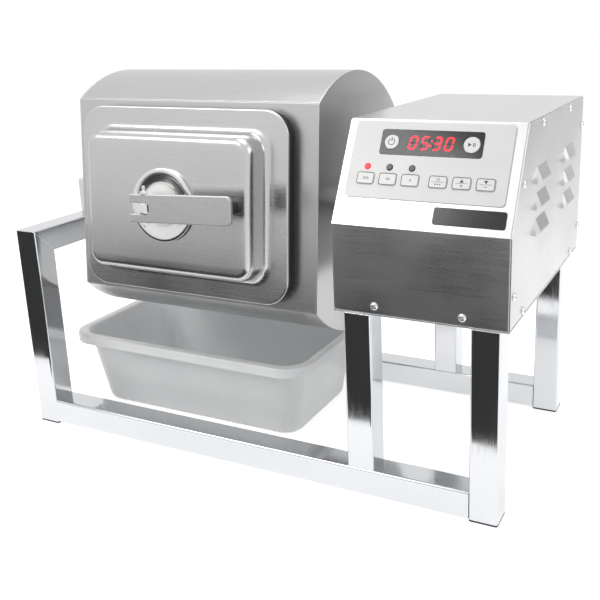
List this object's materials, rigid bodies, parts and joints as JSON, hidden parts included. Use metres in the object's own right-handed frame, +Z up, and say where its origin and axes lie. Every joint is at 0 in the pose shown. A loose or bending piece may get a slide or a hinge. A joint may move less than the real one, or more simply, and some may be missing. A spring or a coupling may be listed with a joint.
{
  "type": "meat vacuum tumbler",
  "caption": "Stainless vacuum tumbler: a flat-fronted drum with a lever-valve lid turns in a square-tube frame beside a keypad control box, over a white drip tray",
  "frame": {"origin": "centre of the bounding box at floor level, under the feet", "axes": "+X to the machine's right along the drum axis, toward the control box; +Y to the back; +Z up. The lid faces -Y"},
  "size_m": [0.6154, 0.3706, 0.4335],
  "materials": {
    "tube_steel": "mirror-polished stainless square tube with mitred welds",
    "box_steel": "fine brushed stainless sheet",
    "drum_steel": "fine brushed stainless sheet",
    "lid_steel": "satin pressed stainless with bright rounded edges",
    "lever_steel": "bead-blasted stainless bar with polished edges",
    "screw_steel": "bright stainless fasteners",
    "turned_steel": "turned stainless",
    "bracket_steel": "folded steel sheet",
    "cast_aluminium": "cast gearbox housing",
    "motor_paint": "black painted motor can",
    "supply_cage": "folded aluminium cage",
    "board": "circuit board with a dark digit module",
    "black_plastic": "moulded black plastic",
    "nylon": "machined white nylon",
    "keypad": "light satin key panel film",
    "key": "light key caps with dark outlines and plain symbols",
    "window": "smoked display window with red digits",
    "lit_led": "lit red light",
    "idle_led": "unlit red light",
    "name_plate": "bare black plate",
    "black_rubber": "black rubber",
    "silicone": "white silicone",
    "tray_plastic": "glossy white translucent food-grade plastic"
  },
  "bodies": {
    "frame": {"front_left_post": "tube_steel", "rear_left_post": "tube_steel", "left_top_rail": "tube_steel", "front_bottom_rail": "tube_steel", "rear_bottom_rail": "tube_steel", "front_inner_post": "tube_steel", "rear_inner_post": "tube_steel", "front_right_post": "tube_steel", "rear_right_post": "tube_steel", "foot_plugs": "black_plastic", "bearing_block": "nylon", "block_bolts": "screw_steel", "base_plate": "box_steel", "hood_shell": "box_steel", "rear_panel": "box_steel", "left_side_panel": "box_steel", "right_side_panel": "box_steel", "panel_screws": "screw_steel", "cable_gland": "black_plastic", "motor_bracket": "bracket_steel", "gearbox": "cast_aluminium", "gearbox_bolts": "screw_steel", "motor": "motor_paint", "power_supply": "supply_cage", "control_board": "board", "keypad_overlay": "keypad", "display_window": "window", "fast_light": "lit_led", "idle_lights": "idle_led", "name_plate": "name_plate"},
    "drum": {"drum_shell": "drum_steel", "drum_front_plate": "drum_steel", "left_end_plate": "drum_steel", "right_end_plate": "drum_steel", "mouth_collar": "drum_steel", "drum_baffles": "drum_steel", "drum_journal": "turned_steel", "drum_hub": "turned_steel", "drive_shaft": "turned_steel"},
    "lid": {"lid_pan": "lid_steel", "lid_gasket": "black_rubber", "valve_dish": "lid_steel"},
    "valve": {"valve_plug": "silicone", "valve_stem": "lever_steel"},
    "lever": {"lever": "lever_steel", "lever_pin": "lever_steel", "lever_bumper": "black_rubber"},
    "tray": {"tray": "tray_plastic"},
    "power_key": {"power_key": "key"},
    "start_stop_key": {"start_stop_key": "key"},
    "fast_key": {"fast_key": "key"},
    "medium_key": {"medium_key": "key"},
    "slow_key": {"slow_key": "key"},
    "time_key": {"time_key": "key"},
    "time_up_key": {"time_up_key": "key"},
    "time_down_key": {"time_down_key": "key"}
  },
  "joints": [
    {"name": "drum_spin", "type": "hinge", "parent": "frame", "child": "drum", "pos_m": [-0.24025, -0.0017, 0.2835], "axis": [1, 0, 0], "continuous": true},
    {"name": "lid_off", "type": "slide", "parent": "drum", "child": "lid", "axis": [0, -0.9948, 0.1019], "range_m": [0, 0.15]},
    {"name": "valve_lift", "type": "slide", "parent": "lid", "child": "valve", "axis": [0, -0.9948, 0.1019], "range_m": [0, 0.005]},
    {"name": "lever_swing", "type": "hinge", "parent": "valve", "child": "lever", "pos_m": [-0.08375, -0.17927, 0.30169], "axis": [0.0436, -0.1018, -0.9938], "range_deg": [0, 60]},
    {"name": "tray_slide", "type": "slide", "parent": "frame", "child": "tray", "axis": [-1, 0, 0], "range_m": [0, 0.355]},
    {"name": "power_key_press", "type": "slide", "parent": "frame", "child": "power_key", "axis": [0, 0.8738, -0.4863], "range_m": [0, 0.0005], "stiffness_N_per_m": 500},
    {"name": "start_stop_key_press", "type": "slide", "parent": "frame", "child": "start_stop_key", "axis": [0, 0.8738, -0.4863], "range_m": [0, 0.0005], "stiffness_N_per_m": 500},
    {"name": "fast_key_press", "type": "slide", "parent": "frame", "child": "fast_key", "axis": [0, 0.8738, -0.4863], "range_m": [0, 0.0005], "stiffness_N_per_m": 500},
    {"name": "medium_key_press", "type": "slide", "parent": "frame", "child": "medium_key", "axis": [0, 0.8738, -0.4863], "range_m": [0, 0.0005], "stiffness_N_per_m": 500},
    {"name": "slow_key_press", "type": "slide", "parent": "frame", "child": "slow_key", "axis": [0, 0.8738, -0.4863], "range_m": [0, 0.0005], "stiffness_N_per_m": 500},
    {"name": "time_key_press", "type": "slide", "parent": "frame", "child": "time_key", "axis": [0, 0.8738, -0.4863], "range_m": [0, 0.0005], "stiffness_N_per_m": 500},
    {"name": "time_up_key_press", "type": "slide", "parent": "frame", "child": "time_up_key", "axis": [0, 0.8738, -0.4863], "range_m": [0, 0.0005], "stiffness_N_per_m": 500},
    {"name": "time_down_key_press", "type": "slide", "parent": "frame", "child": "time_down_key", "axis": [0, 0.8738, -0.4863], "range_m": [0, 0.0005], "stiffness_N_per_m": 500}
  ]
}
